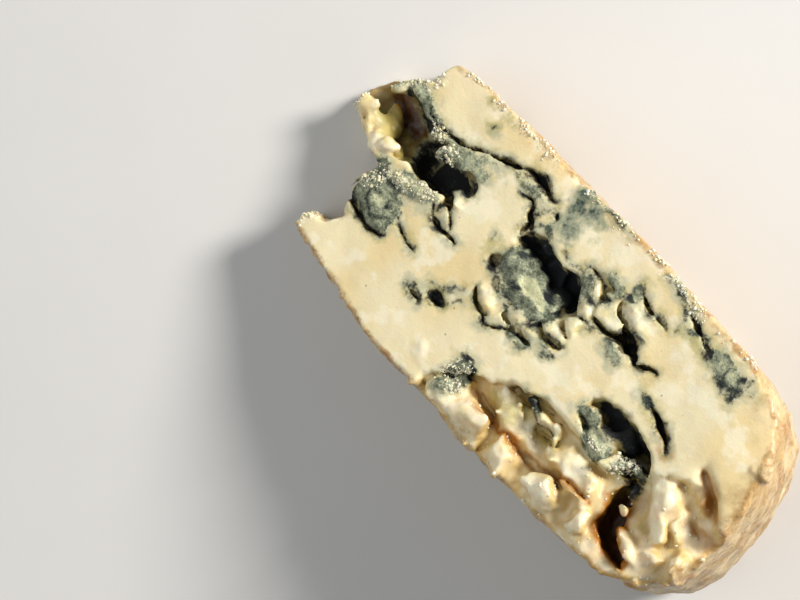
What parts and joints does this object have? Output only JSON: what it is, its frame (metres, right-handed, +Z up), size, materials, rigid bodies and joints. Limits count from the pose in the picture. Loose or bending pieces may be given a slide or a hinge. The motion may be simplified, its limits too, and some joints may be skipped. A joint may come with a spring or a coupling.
{
  "type": "cheese wedge",
  "caption": "Wedge of blue-veined cheese with a mottled rind, a broken hollow tip, mouldy cavities and a crumbling corner, lying on a cut face.",
  "frame": {"origin": "middle of the bounding box on the resting plane", "axes": "+Z up from the resting cut face, +X from the broken tip towards the rind, +Y across the wheel's thickness"},
  "size_m": [0.1242, 0.0532, 0.0536],
  "materials": {
    "blue_cheese": "moist cream paste with grey-green mould veins and a tan mottled rind"
  },
  "bodies": {
    "root": {"cheese_wedge": "blue_cheese"}
  },
  "joints": []
}
